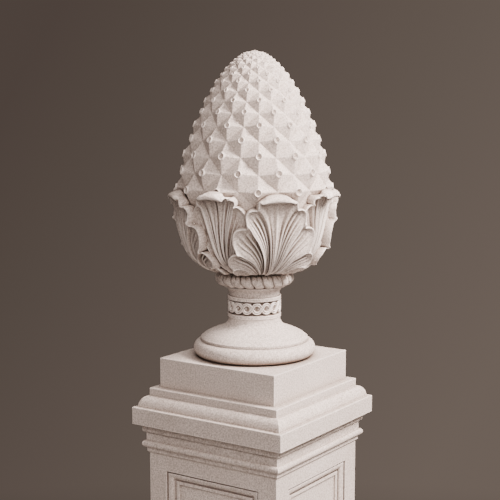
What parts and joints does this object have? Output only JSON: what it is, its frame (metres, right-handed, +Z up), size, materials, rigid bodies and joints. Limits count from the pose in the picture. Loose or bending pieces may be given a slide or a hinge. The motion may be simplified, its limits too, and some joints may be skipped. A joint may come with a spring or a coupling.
{
  "type": "pineapple post cap finial",
  "caption": "Pineapple finial with faceted egg body, acanthus calyx, rope collar and guilloche neck, on a square moulded pier cap and panelled pier head.",
  "frame": {"origin": "centre of the flat square underside, on the axis of the finial", "axes": "+Z up along the axis of the finial; -Y out of one panelled face, +X out of the panelled face to its right"},
  "size_m": [0.457, 0.457, 1.4283],
  "materials": {
    "cast_stone": "pale warm-grey cast stone, matt and finely speckled"
  },
  "bodies": {
    "root": {"pineapple_finial": "cast_stone", "pier_cap": "cast_stone", "panelled_pier_block": "cast_stone"}
  },
  "joints": []
}
